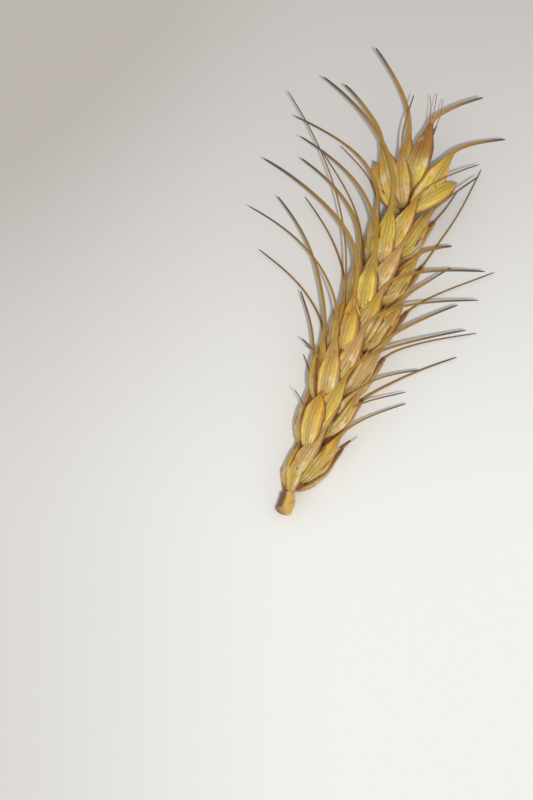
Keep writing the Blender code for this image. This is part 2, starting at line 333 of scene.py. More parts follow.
# the glume, an open shell with a keel and a tooth that covers the foot of a floret
glume = {
    "sides": 16,
    "length": 13.6,
    "rings": (
        (0.0, 0.40, 0.28),
        (1.0, 1.02, 0.56),
        (2.4, 1.66, 0.80),
        (4.2, 2.24, 0.98),
        (6.2, 2.50, 1.06),
        (8.2, 2.50, 1.04),
        (9.9, 2.24, 0.92),
        (11.2, 1.62, 0.74),
        (12.2, 0.86, 0.52),
        (13.0, 0.36, 0.32),
        (13.6, 0.13, 0.15),
    ),
    "keelSpan": (1.5, 12.5),
    "keelRise": 0.36,
    "flankSpan": (2.0, 11.5),
    "flankDrop": 0.22,
    "nerveTurns": (38, 72),
    "nerveSpan": (1.5, 10.0),
    "nerveRise": 0.07,
    "wall": 0.16,
    "openBelow": -0.42,  # faces that point further inwards than this are taken away
    "openUpTo": 12.0,
    "arch": 0.9,
    "sink": 0.5,  # how much closer it lies to the floret that it covers
    "tipDrop": 0.75,
}


def modelGlume(name):
    piece = drawOut(name, glume["sides"], glume["rings"])
    turnOutwards()
    shapeBack(piece, glume)

    def inOpening(face):
        return face.normal.z < glume["openBelow"] and face.center.y / mm < glume["openUpTo"]

    # the inner side is cut away and the rest gets a thin wall
    pickFaces(piece, inOpening)
    bpy.ops.mesh.delete(type="FACE")
    bpy.ops.object.mode_set(mode="OBJECT")
    wall = piece.modifiers.new("wall", "SOLIDIFY")
    wall.thickness = glume["wall"] * mm
    wall.offset = -1
    wall.use_rim = True
    bpy.ops.object.modifier_apply(modifier=wall.name)
    return finishScale(piece, glume, 0.0)


# the knobbly foot that a spikelet's scales grow from
heel = {
    "sides": 12,
    "length": 3.6,
    "rings": ((0.0, 0.5, 0.95), (1.1, 1.0, 1.9), (2.5, 1.0, 1.9), (3.6, 0.5, 0.95)),
    "notedTurn": 0.8,  # coloured between the edge of a scale and its inner side, so it takes much of their painted shade
}


def modelHeel(name):
    piece = drawOut(name, heel["sides"], heel["rings"])
    bpy.ops.object.mode_set(mode="OBJECT")
    roundOff(piece)
    finishShell(piece)
    note = piece.data.attributes.new("huskPlace", "FLOAT_VECTOR", "POINT")
    for number in range(len(piece.data.vertices)):
        note.data[number].vector = (heel["notedTurn"], 0.0, 0.0)
    return piece


patterns = {
    "lemma": modelLemma("lemmaPattern", lemma["awnSteps"], lemma["awnDrawn"]),
    "brokenLemma": modelLemma("brokenLemmaPattern", lemma["stubSteps"], lemma["stubDrawn"]),
    "glume": modelGlume("glumePattern"),
    "heel": modelHeel("heelPattern"),
}
print("scales modelled")

# small differences between one scale and the next
variety = {
    "angle": 2.5,
    "roll": 9.0,
    "width": 0.09,
    "length": 0.05,
    "bend": 0.5,
    "slant": 0.35,  # how far the keel stands to one side
    "dent": 0.12,
    "dentLength": 2.8,
    "dentTurns": 1.1,
    "dentChoice": 50,
}


def standing(spot, stance):
    start, lift, offset, angle, splay, roll, share = stance
    turn = math.radians(angle + chance.uniform(-1, 1) * variety["angle"])
    away = math.radians(splay)
    rolled = math.radians(roll + chance.uniform(-1, 1) * variety["roll"])
    direction = spot["along"] * math.cos(turn) + spot["fan"] * math.sin(turn)
    direction = direction * math.cos(away) + spot["out"] * math.sin(away)
    side = 1.0 if angle > 0 else -1.0
    back = spot["fan"] * (side * math.cos(rolled)) + spot["out"] * math.sin(rolled)
    back = (back - direction * back.dot(direction)).normalized()
    root = spot["along"] * start + spot["fan"] * offset + spot["out"] * lift
    return {
        "root": spot["base"] + root * spot["size"],
        "direction": direction,
        "back": back,
        "across": direction.cross(back).normalized(),
        "size": spot["size"] * share,
    }


def ownCopy(pattern, name):
    piece = pattern.copy()
    piece.data = pattern.data.copy()
    piece.name = name
    bpy.context.collection.objects.link(piece)
    return piece


plainTint = 0.5  # neither greener nor rosier


def tinted(piece, tint):
    note = piece.data.attributes.new("huskTint", "FLOAT", "POINT")
    for number in range(len(piece.data.vertices)):
        note.data[number].value = tint


# the awns
awn = {
    # the share of its way that an awn holds its line, and how far that line turns towards the
    # ear's own, in the left row and at the tip and in the right row
    "held": {left: (0.45, 0.3), right: (0.26, 0.0)},
    "routeSteps": 36,
    "endShare": 0.5,  # thickness at the end beside that at the root
    "taper": 0.9,
    "thinBy": 0.12,  # share of the awn in which it narrows from the scale's tip to its own width
    "stub": 3.0,
    "clearance": 0.1,
    "highest": 10.4,
    "sway": 0.009,
    "waves": (1.2, 2.4),
    "rootRadius": 0.5,
    "narrowing": 0.6,
}


def awnRoute(tip, direction, across, end):
    # leaves the tip nearly in line with the scale, then sweeps over to its end with a slight sway
    reach = (end - tip).length
    share, upward = awn["held"][right if end.x > tip.x else left]
    heading = (direction + Vector((0, upward, 0))).normalized()
    hold = tip + heading * (reach * share)
    sway = Vector([chance.uniform(-1, 1) for _ in range(3)]) * (awn["sway"] * reach)
    waves = chance.uniform(*awn["waves"])
    steps = awn["routeSteps"]
    middles = []
    for step in range(steps + 1):
        share = step / steps
        middle = tip * (1 - share) ** 2 + hold * (2 * share * (1 - share)) + end * share**2
        middle += sway * (math.sin(waves * math.pi * share) * share * (1 - share) * 4)
        radius = awn["rootRadius"] * (1 - awn["narrowing"] * share)
        lowest = ear["floorHeight"] + radius + awn["clearance"]
        middle.z = min(awn["highest"], max(settled(middle).z, lowest))
        middles.append(middle)
    route = []
    for step in range(steps + 1):
        heading = direction
        if step:
            before, after = middles[step - 1], middles[min(step + 1, steps)]
            heading = (after - before).normalized()
        across = (across - heading * across.dot(heading)).normalized()
        route.append((middles[step], across, across.cross(heading)))
    return route


archPeak = 6.75  # brings the highest point of a scale's arch to 1


def laidScale(piece, stand, look, awnEnd=None, drawn=0.0, narrow=1.0, tint=None):
    # takes a scale from where it was modelled to where it grows, and its awn along its route
    size = stand["size"]
    width = narrow * (1 + chance.uniform(-1, 1) * variety["width"])
    stretch = 1 + chance.uniform(-1, 1) * variety["length"]
    bend = chance.uniform(-1, 1) * variety["bend"]
    slant = chance.uniform(-1, 1) * variety["slant"]
    phase = chance.uniform(0, variety["dentChoice"])
    length = look["length"]
    reach = length * size * stretch
    tip = settled(stand["root"] + stand["direction"] * reach + stand["across"] * bend)
    route = []
    thickness = 1.0
    if drawn:
        end = tip + stand["direction"] * (awn["stub"] * size)
        if awnEnd:
            *end, thickness = awnEnd
            end = Vector(end)
        route = awnRoute(tip, stand["direction"], stand["across"], end)
    for point in piece.data.vertices:
        x, y, z = point.co / mm
        share = min(1.0, max(0.0, y / length))
        around = math.atan2(x, z) * variety["dentTurns"]
        dent = noise.noise((around, y / variety["dentLength"], phase))
        swell = 1 + dent * variety["dent"] * math.sin(math.pi * share)
        if y <= length or not route:
            arch = look["arch"] * archPeak * share * (1 - share) ** 2
            arch -= look["sink"] + look["tipDrop"] * share**3
            x += z * slant * math.sin(math.pi * share)
            place = stand["root"] + stand["direction"] * (y * size * stretch)
            place += stand["across"] * (x * width * swell * size + bend * share * share)
            place += stand["back"] * (z * swell * size + arch)
            place = settled(place)
        else:
            onAwn = min(1.0, (y - length) / drawn)
            step = min(awn["routeSteps"] - 1, int(onAwn * awn["routeSteps"]))
            part = onAwn * awn["routeSteps"] - step
            here, further = route[step], route[step + 1]
            thin = between((awn["endShare"], 1.0), (1 - onAwn) ** awn["taper"])
            thin *= between((1.0, thickness), smoothStep(onAwn / awn["thinBy"]))
            aside = here[1].lerp(further[1], part) * (x * size * thin)
            above = here[2].lerp(further[2], part) * (z * size * thin)
            place = here[0].lerp(further[0], part) + aside + above
        point.co = place * mm + earShift
    tinted(piece, chance.random() if tint is None else tint)


def laidHeel(piece, spot):
    across = spot["along"].cross(spot["fan"]).normalized()
    for point in piece.data.vertices:
        x, y, z = point.co / mm * spot["size"]
        place = spot["base"] + spot["along"] * y + across * x + spot["fan"] * z
        point.co = settled(place) * mm + earShift
    tinted(piece, plainTint)


def joined(pieces, name):
    letGo()
    for piece in pieces:
        piece.select_set(True)
    bpy.context.view_layer.objects.active = pieces[0]
    bpy.ops.object.join()
    whole = bpy.context.object
    whole.name = name
    whole.data.name = name
    return whole


def growFloret(spot, stance, awnEnd, tint=None):
    whole = awnEnd is not None
    piece = ownCopy(patterns["lemma" if whole else "brokenLemma"], "floret")
    drawn = lemma["awnDrawn"] if whole else lemma["stubDrawn"]
    laidScale(piece, standing(spot, stance), lemma, awnEnd, drawn, tint=tint)
    return piece


def growGlume(spot, stance, narrow=1.0, tint=None):
    piece = ownCopy(patterns["glume"], "glume")
    laidScale(piece, standing(spot, stance), glume, narrow=narrow, tint=tint)
    return piece


def growHeel(spot):
    piece = ownCopy(patterns["heel"], "heel")
    laidHeel(piece, spot)
    return piece


# each spikelet's size, then where its awns end and how thick they are: upper, middle and lower
# floret; None is broken off
spikelets = (
    (0.76, ((-5.6, 18.6, 10.2, 0.5), None, None)),
    (0.88, ((15.0, 28.0, 5.0, 0.6), (15.6, 26.3, 3.5, 0.6), None)),
    (0.93, ((-8.0, 30.5, 9.6, 0.7), (-12.5, 43.0, 6.0, 0.8), (-8.0, 31.5, 1.8, 0.5))),
    (0.96, ((22.0, 45.5, 5.0, 0.8), (16.0, 34.0, 4.5, 0.6), (21.5, 41.0, 1.2, 0.7))),
    (1.00, ((-28.5, 57.5, 7.5, 0.6), (-24.0, 62.5, 6.0, 0.8), (-24.5, 52.0, 1.5, 0.6))),
    (1.00, ((22.5, 52.0, 6.5, 0.7), (18.5, 50.5, 5.0, 0.8), (23.5, 47.5, 1.2, 0.5))),
    (1.00, ((-29.0, 68.5, 8.5, 1.0), (-30.0, 86.5, 6.5, 0.5), (-19.5, 66.5, 1.8, 0.6))),
    (1.00, ((21.5, 59.0, 6.0, 0.8), (14.5, 58.0, 5.5, 0.7), (22.5, 62.0, 1.5, 0.5))),
    (1.00, ((-23.5, 75.5, 9.0, 0.8), (-22.0, 71.5, 7.5, 0.9), (-20.0, 78.0, 2.0, 0.5))),
    (0.96, ((13.5, 79.0, 7.5, 0.7), (13.2, 62.5, 6.0, 0.9), (12.5, 84.0, 2.0, 0.5))),
    (0.96, ((-23.5, 90.0, 9.5, 1.0), (-26.5, 80.5, 7.5, 0.8), (-16.5, 80.0, 2.0, 0.5))),
    (0.88, ((12.5, 82.5, 6.0, 0.6), None, (9.5, 77.0, 2.0, 0.5))),
)

# how a scale stands: start along the spikelet, lift out of it, offset across its fan,
# angle in the fan, splay out of it, roll of its back outwards, size
stances = {
    "upperFloret": (1.0, -0.8, 0.9, 13.0, -2.0, 10.0, 1.0),
    "lowerFloret": (1.6, -0.3, -1.1, -12.0, 0.0, 45.0, 1.0),
    "middleFloret": (2.2, 0.1, 0.2, 3.0, 3.0, 60.0, 0.95),
    "smallFloret": (5.0, 0.9, 0.0, -3.0, 7.0, 60.0, 0.5),
    "upperGlume": (0.0, -0.8, 1.3, 18.0, 0.0, 15.0, 1.0),
    "lowerGlume": (0.2, -0.3, -1.6, -16.0, 0.0, 50.0, 1.0),
}

# the small florets that carry a fine awn, by spikelet
fineAwns = {
    1: (8.6, 16.2, 3.0, 0.6),
    4: (-7.7, 32.1, 4.0, 0.6),
}

# narrow bracts that lie over a spikelet: the range of each number in a stance, then of the
# share of a glume's width, and how many there are on the first spikelets and on the others
bracts = {
    "ranges": (
        (0.4, 3.8), (0.3, 1.0), (-1.0, 1.7), (-8.0, 15.0), (2.0, 9.0), (40.0, 75.0), (0.74, 0.95),
        (0.34, 0.52),
    ),
    "first": (2, 5),
    "others": 3,
    "seed": 5,
}

# the tint of a spikelet's upper floret and glume, where it isn't left to chance:
# above 0.6 greener, below 0.35 rosier, 2 old and brown
tints = {0: 0.72, 1: 0.15}

bractChance = random.Random(bracts["seed"])


def sideFrame(index):
    side = left if index % 2 == 0 else right
    centre = axisPoint(nodeAlong(index))
    poise = smoothStep(index / ear["slenderCount"])
    lean = math.radians(between(ear["lean"][side], poise))
    twist = math.radians(ear["twist"][side])
    along = Vector((side * math.sin(lean), math.cos(lean), 0))
    out = Vector((side * math.cos(lean), -math.sin(lean), 0))
    fan = Vector((0, 0, 1)) * math.cos(twist) - out * math.sin(twist)
    out = out * math.cos(twist) + Vector((0, 0, 1)) * math.sin(twist)
    base = centre + Vector((side * (between(ear["clearance"], poise) + stalk["zigzag"]), 0, 0))
    return {"base": base, "along": along, "out": out, "fan": fan, "size": spikelets[index][0]}


def sideSpikelet(index):
    spot = sideFrame(index)
    upper, middle, lower = spikelets[index][1]
    tint = tints.get(index)
    pieces = [
        growHeel(spot),
        growFloret(spot, stances["upperFloret"], upper, tint),
        growFloret(spot, stances["lowerFloret"], lower),
        growFloret(spot, stances["middleFloret"], middle),
        growFloret(spot, stances["smallFloret"], fineAwns.get(index)),
        growGlume(spot, stances["upperGlume"], tint=tint),
        growGlume(spot, stances["lowerGlume"]),
    ]
    count = bracts["first"][index] if index < len(bracts["first"]) else bracts["others"]
    for number in range(count):
        # spread over the spikelet from its lower to its upper side, each a little off its place
        shares = [bractChance.random() for _ in bracts["ranges"]]
        shares[2] = shares[3] = (number + shares[2]) / count
        *stance, narrow = [between(ends, share) for ends, share in zip(bracts["ranges"], shares)]
        pieces.append(growGlume(spot, stance, narrow))
    side = "left" if index % 2 == 0 else "right"
    piece = joined(pieces, f"spikelet{index + 1:02d}{side.capitalize()}")
    return piece, f"spikelet_{index + 1:02d}_{side}"


# the spikelet at the tip stands at right angles to the others; a floret's stance ends in its awn
terminal = {
    "base": 66.4,
    "aside": 0.7,
    "height": 6.0,
    "size": 1.05,
    "florets": (
        (0.6, 0.5, -0.7, -33.0, 1.0, 55.0, 1.0, (-19.0, 90.5, 8.0, 0.9)),
        (0.6, 0.6, 0.7, 14.0, 2.0, 60.0, 1.0, (15.5, 90.0, 5.5, 0.8)),
        (0.5, 1.3, -0.3, -21.0, 3.0, 75.0, 0.78, (-5.0, 93.0, 7.5, 0.6)),
        (4.6, 0.2, 0.0, -4.0, 3.0, 70.0, 1.05, (8.6, 96.5, 8.0, 0.9)),
        (2.8, -0.6, -0.4, -14.0, 0.0, 50.0, 1.0, (-15.8, 100.5, 8.5, 0.9)),
        (14.4, 0.7, -1.3, -10.0, 1.0, 70.0, 0.32, (-2.6, 95.8, 4.5, 0.7)),
        (15.0, 0.6, -1.0, -6.0, 1.0, 70.0, 0.32, (-1.4, 96.8, 4.0, 0.65)),
        (15.2, 0.5, -0.6, -1.0, 1.0, 70.0, 0.32, (0.2, 96.2, 3.5, 0.65)),
    ),
    "glumes": (
        (-0.2, -0.2, -0.9, -42.0, 1.0, 60.0, 0.95),
        (-0.4, 1.2, 0.7, 32.0, 2.0, 80.0, 0.9),
    ),
    "tints": (0.5, 0.75, 0.3, 2.0, 0.45, 2.0, 2.0, 2.0),
}


def terminalFrame():
    base = axisPoint(terminal["base"])
    base.x += terminal["aside"]
    base.z = terminal["height"]
    return {
        "base": base,
        "along": Vector((0, 1, 0)),
        "out": Vector((0, 0, 1)),
        "fan": Vector((1, 0, 0)),
        "size": terminal["size"],
    }


def terminalSpikelet():
    spot = terminalFrame()
    pieces = [growHeel(spot)]
    for (*stance, end), tint in zip(terminal["florets"], terminal["tints"]):
        pieces.append(growFloret(spot, stance, end, tint))
    for stance in terminal["glumes"]:
        pieces.append(growGlume(spot, stance))
    number = len(spikelets) + 1
    return joined(pieces, f"spikelet{number}Terminal"), f"spikelet_{number}_terminal"


# painted shade in the dark creases between the scales: how much each point gets is found by looking
# round from it
creaseShade = {
    "rays": 8,
    "lean": 52.0,  # of the rays away from the surface's normal
    "reach": 0.95,
    "startOff": 0.05,
}


def noteCreaseShade(pieces):
    # each point keeps how much of its surroundings the other scales take up, which sets how much
    # painted crease shade it gets
    corners = []
    faces = []
    for piece in pieces:
        first = len(corners)
        corners.extend(point.co.copy() for point in piece.data.vertices)
        faces.extend([first + number for number in face.vertices] for face in piece.data.polygons)
    tree = BVHTree.FromPolygons(corners, faces)
    turns = [2 * math.pi * number / creaseShade["rays"] for number in range(creaseShade["rays"])]
    upward = math.cos(math.radians(creaseShade["lean"]))
    sideward = math.sin(math.radians(creaseShade["lean"]))
    for piece in pieces:
        note = piece.data.attributes.new("huskCreaseShade", "FLOAT", "POINT")
        places = piece.data.attributes["huskPlace"].data
        for number, point in enumerate(piece.data.vertices):
            if places[number].vector.z > 0:
                continue  # an awn
            normal = point.normal
            aside = normal.orthogonal().normalized()
            other = normal.cross(aside)
            start = point.co + normal * creaseShade["startOff"] * mm
            blocked = 0
            for turn in turns:
                heading = aside * math.cos(turn) + other * math.sin(turn)
                heading = heading * sideward + normal * upward
                if tree.ray_cast(start, heading, creaseShade["reach"] * mm)[0]:
                    blocked += 1
            note.data[number].value = blocked / creaseShade["rays"]


def zigzag(y):
    if y < ear["firstNode"]:
        return 0.0
    index = 0
    while nodeAlong(index + 1) < y:
        index += 1
    share = (y - nodeAlong(index)) / (nodeAlong(index + 1) - nodeAlong(index))
    start = stalk["zigzag"] if index % 2 else -stalk["zigzag"]
    return start * (1 - 2 * share)


def stalkRing(y):
    middle = axisPoint(y)
    middle.x += zigzag(y)
    share = max(0.0, y) / stalk["axisLength"]
    flat = smoothStep((y - stalk["flattenFrom"]) / stalk["flattenOver"])
    thick = between((stalk["radius"], between(stalk["halfThickness"], share)), flat)
    broad = between((stalk["radius"], between(stalk["halfBreadth"], share)), flat)
    return middle, thick, broad


def stalkTurn(point):
    # how far round the stalk a point lies from its top, in half turns
    x, y, z = point / mm
    centre = stalkRing(y)[0]
    return math.atan2(x - centre.x, z - centre.z) / math.pi


def drawStalk():
    letGo()
    y = -stalk["length"]
    middle, thick, broad = stalkRing(y)
    bpy.ops.mesh.primitive_circle_add(
        vertices=stalk["sides"],
        radius=mm,
        fill_type="NGON",
        location=middle * mm,
        rotation=(math.radians(90), 0, 0),
    )
    piece = bpy.context.object
    piece.name = "stalkAndAxis"
    piece.data.name = "stalkAndAxis"
    bpy.ops.object.transform_apply(location=True, rotation=True, scale=False)
    bpy.ops.object.mode_set(mode="EDIT")
    bpy.ops.mesh.select_all(action="SELECT")
    bpy.ops.transform.resize(value=(thick, 1, broad), center_override=middle * mm)
    while y < stalk["axisLength"]:
        step = stalk["stubStep"] if y < stalk["stubEnd"] else stalk["axisStep"]
        y = min(stalk["axisLength"], y + step)
        nextMiddle, nextThick, nextBroad = stalkRing(y)
        bpy.ops.mesh.extrude_region_move(
            TRANSFORM_OT_translate={"value": (nextMiddle - middle) * mm}
        )
        bpy.ops.transform.resize(
            value=(nextThick / thick, 1, nextBroad / broad), center_override=nextMiddle * mm
        )
        middle, thick, broad = nextMiddle, nextThick, nextBroad
    bpy.ops.object.mode_set(mode="OBJECT")
    return piece


def modelStalk():
    piece = drawStalk()
    note = piece.data.attributes.new("huskPlace", "FLOAT_VECTOR", "POINT")
    for number, point in enumerate(piece.data.vertices):
        turn = stalkTurn(point.co)
        along = (point.co.y / mm + stalk["length"]) / stalk["notedLength"]
        # the third number is how far round to the left it lies, where the stub gets painted shade
        # on its left side
        leftShade = smoothStep((-turn - stalk["leftShadeFrom"]) / stalk["leftShadeOver"])
        note.data[number].vector = (abs(turn), along, leftShade)

    def onRib(co):
        if not -stalk["length"] + stalk["ribsFrom"] < co.y / mm < stalk["ribsTo"]:
            return False
        return round(stalkTurn(co) * stalk["sides"] / 2) % 2 == 0

    # every second row of points is raised as a rib; the faces still point inwards here, so
    # shrinking moves the points out
    pickPoints(piece, onRib)
    bpy.ops.transform.shrink_fatten(value=-stalk["ribHeight"] * mm)
    bpy.ops.object.mode_set(mode="OBJECT")
    finishShell(piece)
    bpy.ops.object.shade_smooth_by_angle(angle=math.radians(stalk["sharpAngle"]))
    for point in piece.data.vertices:
        point.co = settled(point.co / mm) * mm + earShift
    tinted(piece, plainTint)
    return piece


def newNode(tree, kind, **settings):
    node = tree.nodes.new(kind)
    for key, value in settings.items():
        setattr(node, key, value)
    return node


def feed(tree, socket, source):
    # a socket takes a link from another node, or a plain value
    if isinstance(source, bpy.types.NodeSocket):
        tree.links.new(source, socket)
    else:
        socket.default_value = source


def maths(tree, operation, first, second=0.0):
    node = newNode(tree, "ShaderNodeMath", operation=operation)
    feed(tree, node.inputs[0], first)
    feed(tree, node.inputs[1], second)
    return node.outputs[0]


def spread(tree, value, span, most=1.0, least=0.0):
    # goes smoothly from the least to the most as the value crosses the span
    node = newNode(tree, "ShaderNodeMapRange", interpolation_type="SMOOTHSTEP")
    labels = ("Value", "From Min", "From Max", "To Min", "To Max")
    for label, source in zip(labels, (value, *span, least, most)):
        feed(tree, node.inputs[label], source)
    return node.outputs["Result"]


def mixed(tree, amount, under, over):
    node = newNode(tree, "ShaderNodeMix", data_type="RGBA", blend_type="MIX")
    feed(tree, node.inputs["Factor"], amount)
    feed(tree, node.inputs[6], under)
    feed(tree, node.inputs[7], over)
    return node.outputs[2]


def ramp(tree, value, look, stops):
    node = newNode(tree, "ShaderNodeValToRGB")
    marks = node.color_ramp.elements
    while len(marks) < len(stops):
        marks.new(0.5)
    for mark, (place, paint) in zip(marks, stops):
        mark.position = place
        mark.color = look[paint]
    feed(tree, node.inputs["Fac"], value)
    return node.outputs["Color"]


def newMaterial(name):
    material = bpy.data.materials.new(name)
    material.use_nodes = True
    return material, material.node_tree, material.node_tree.nodes["Principled BSDF"]


def newGroup(name, takes, gives):
    group = bpy.data.node_groups.new(name, "ShaderNodeTree")
    for label, kind in takes:
        group.interface.new_socket(name=label, in_out="INPUT", socket_type=kind)
    for label, kind in gives:
        group.interface.new_socket(name=label, in_out="OUTPUT", socket_type=kind)
    return group, group.nodes.new("NodeGroupInput"), group.nodes.new("NodeGroupOutput")


floatSocket = "NodeSocketFloat"

# fine fibres and nerves that run the length of a scale or a straw
grain = {
    "nerveFrom": (0.55, 1.0),
    "fibresAround": 48.0,
    "fibresAlong": 3.5,
    "fibresApart": 40.0,  # from one tint to the next
    "detail": 3.0,
    "fibreFrom": (0.25, 0.75),
}


def strawGrainGroup():
    tree, start, end = newGroup(
        "strawGrain",
        [(label, floatSocket) for label in ("Around", "Along", "Tint", "Nerves")],
        [(label, floatSocket) for label in ("Nerve", "Fibre")],
    )
    turned = maths(tree, "MULTIPLY", start.outputs["Around"], start.outputs["Nerves"])
    wave = maths(tree, "COSINE", maths(tree, "MULTIPLY", turned, 2 * math.pi))
    feed(tree, end.inputs["Nerve"], spread(tree, wave, grain["nerveFrom"]))
    place = newNode(tree, "ShaderNodeCombineXYZ")
    for axis, label, scale in (
        ("X", "Around", grain["fibresAround"]),
        ("Y", "Along", grain["fibresAlong"]),
        ("Z", "Tint", grain["fibresApart"]),
    ):
        feed(tree, place.inputs[axis], maths(tree, "MULTIPLY", start.outputs[label], scale))
    streaks = newNode(tree, "ShaderNodeTexNoise")
    feed(tree, streaks.inputs["Vector"], place.outputs["Vector"])
    feed(tree, streaks.inputs["Scale"], 1.0)
    feed(tree, streaks.inputs["Detail"], grain["detail"])
    feed(tree, end.inputs["Fibre"], spread(tree, streaks.outputs["Fac"], grain["fibreFrom"]))


# pale patches where the skin has bleached, brown stain and small dark specks: how close the
# marks stand, their detail, the span in which they show, and their shift from each other
ageing = {
    "Pale": (1.0, 2.0, (0.5, 0.68), 0.0),
    "Stain": (0.8, 2.5, (0.52, 0.7), 0.31),
    "Speck": (7.0, 1.0, (0.7, 0.76), 0.53),
}


def ageingGroup():
    tree, start, end = newGroup(
        "ageing",
        (("Position", "NodeSocketVector"), ("Size", floatSocket)),
        [(label, floatSocket) for label in ageing],
    )
    for label, (scale, detail, span, shift) in ageing.items():
        moved = newNode(tree, "ShaderNodeVectorMath", operation="ADD")
        feed(tree, moved.inputs[0], start.outputs["Position"])
        feed(tree, moved.inputs[1], (shift, shift, shift))
        marks = newNode(tree, "ShaderNodeTexNoise")
        feed(tree, marks.inputs["Vector"], moved.outputs["Vector"])
        feed(tree, marks.inputs["Scale"], maths(tree, "MULTIPLY", start.outputs["Size"], scale))
        feed(tree, marks.inputs["Detail"], detail)
        feed(tree, end.inputs[label], spread(tree, marks.outputs["Fac"], span))


def noted(tree, name):
    return newNode(tree, "ShaderNodeAttribute", attribute_type="GEOMETRY", attribute_name=name)


def notedPlace(tree):
    parts = newNode(tree, "ShaderNodeSeparateXYZ")
    feed(tree, parts.inputs["Vector"], noted(tree, "huskPlace").outputs["Vector"])
    tint = noted(tree, "huskTint").outputs["Fac"]
    return parts.outputs["X"], parts.outputs["Y"], parts.outputs["Z"], tint


def grainNode(tree, around, along, tint, nerves):
    node = newNode(tree, "ShaderNodeGroup", node_tree=bpy.data.node_groups["strawGrain"])
    for label, source in (("Around", around), ("Along", along), ("Tint", tint), ("Nerves", nerves)):
        feed(tree, node.inputs[label], source)
    return node.outputs["Nerve"], node.outputs["Fibre"]


def ageingNode(tree, size):
    where = newNode(tree, "ShaderNodeTexCoord")
    node = newNode(tree, "ShaderNodeGroup", node_tree=bpy.data.node_groups["ageing"])
    feed(tree, node.inputs["Position"], where.outputs["Object"])
    feed(tree, node.inputs["Size"], size)
    return node.outputs["Pale"], node.outputs["Stain"], node.outputs["Speck"]


def giveGrain(tree, shader, look, fibre, nerve):
    # the fibres make the surface duller in places and raise it a little
    smooth, dull = look["roughness"]
    feed(tree, shader.inputs["Roughness"], spread(tree, fibre, (0.0, 1.0), dull, smooth))
    bump = newNode(tree, "ShaderNodeBump")
    feed(tree, bump.inputs["Strength"], look["bump"])
    feed(tree, bump.inputs["Distance"], look["bumpDepth"])
    feed(tree, bump.inputs["Height"], maths(tree, "ADD", fibre, nerve))
    feed(tree, shader.inputs["Normal"], bump.outputs["Normal"])


# the husks, golden and glossy, with awns that fade to grey; colours are linear
huskLook = {
    # painted shade at the foot of each scale, where it grows from under the scales below
    "foot": (0.24, 0.075, 0.012, 1),
    "belly": (0.96, 0.67, 0.13, 1),
    "middle": (0.95, 0.61, 0.085, 1),
    "shoulder": (0.92, 0.52, 0.05, 1),
    "tip": (0.72, 0.34, 0.035, 1),
    "green": (0.82, 0.63, 0.05, 1),
    "bleached": (0.97, 0.87, 0.52, 1),
    "rosy": (0.82, 0.50, 0.25, 1),
    "old": (0.33, 0.085, 0.015, 1),
    # painted highlight along the keel of each scale
    "keel": (0.95, 0.76, 0.26, 1),
    "nerve": (0.32, 0.13, 0.015, 1),
    # painted shade on the edges of each scale, where it turns under its neighbours
    "edge": (0.24, 0.065, 0.012, 1),
    # painted shade, in creases where other scales close in round a point
    "creaseShade": (0.12, 0.028, 0.008, 1),
    # painted shade on the inner sides of the scales
    "hollowShade": (0.11, 0.025, 0.008, 1),
    "speck": (0.09, 0.03, 0.02, 1),
    "awnRoot": (0.70, 0.40, 0.05, 1),
    "awnMiddle": (0.56, 0.29, 0.055, 1),
    "awnEnd": (0.17, 0.145, 0.12, 1),
    # shares of the scale's length and of the awn's
    "bodyStops": (
        (0.0, "foot"), (0.12, "belly"), (0.45, "middle"), (0.76, "shoulder"), (1.0, "tip"),
    ),
    "awnStops": ((0.0, "awnRoot"), (0.66, "awnMiddle"), (0.92, "awnEnd")),
    "awnFrom": (0.0, 0.05),
    "bellyFrom": (0.1, 0.3),
    "bellyTo": (0.78, 0.42),
    "oldAlong": (0.3, 0.6),
    # tints
    "greenFrom": (0.6, 0.9),
    "rosyFrom": (0.35, 0.1),
    "oldFrom": (1.2, 1.8),
    # half turns from the keel
    "keelHighlightFrom": (0.07, 0.03),
    "keelShadeFrom": (0.17, 0.09),
    "edgeShadeFrom": (0.34, 0.46),
    "awnSideShadeFrom": (0.35, 0.55),
    "hollowShadeFrom": (0.7, 0.9),
    "streakFrom": (0.45, 0.95),  # of the fibres
    "creaseShadeFrom": (0.4, 0.8),  # shares of the surroundings that are taken up, over which the painted crease shade comes in
    # how strongly each colour covers what lies under it
    "tintShare": 0.6,
    "rosyShare": 0.55,
    "oldShare": 0.72,
    "bleachShare": (0.1, 0.9),  # everywhere on the belly and in the patches
    "streakShare": 0.48,
    "nerveShare": 0.26,
    "keelHighlightShare": 0.4,
    "keelShadeShare": 0.4,
    "edgeShadeShare": 0.8,
    "creaseShadeShare": 0.95,
    "awnSideShadeShare": 0.5,
    "speckShare": 0.7,
    "roughness": (0.36, 0.62),
    "coat": 0.1,
    "coatRoughness": 0.3,
    "nerves": 13.0,
    "patchSize": 300.0,
    "bump": 0.75,
    "bumpDepth": 0.00015,
}


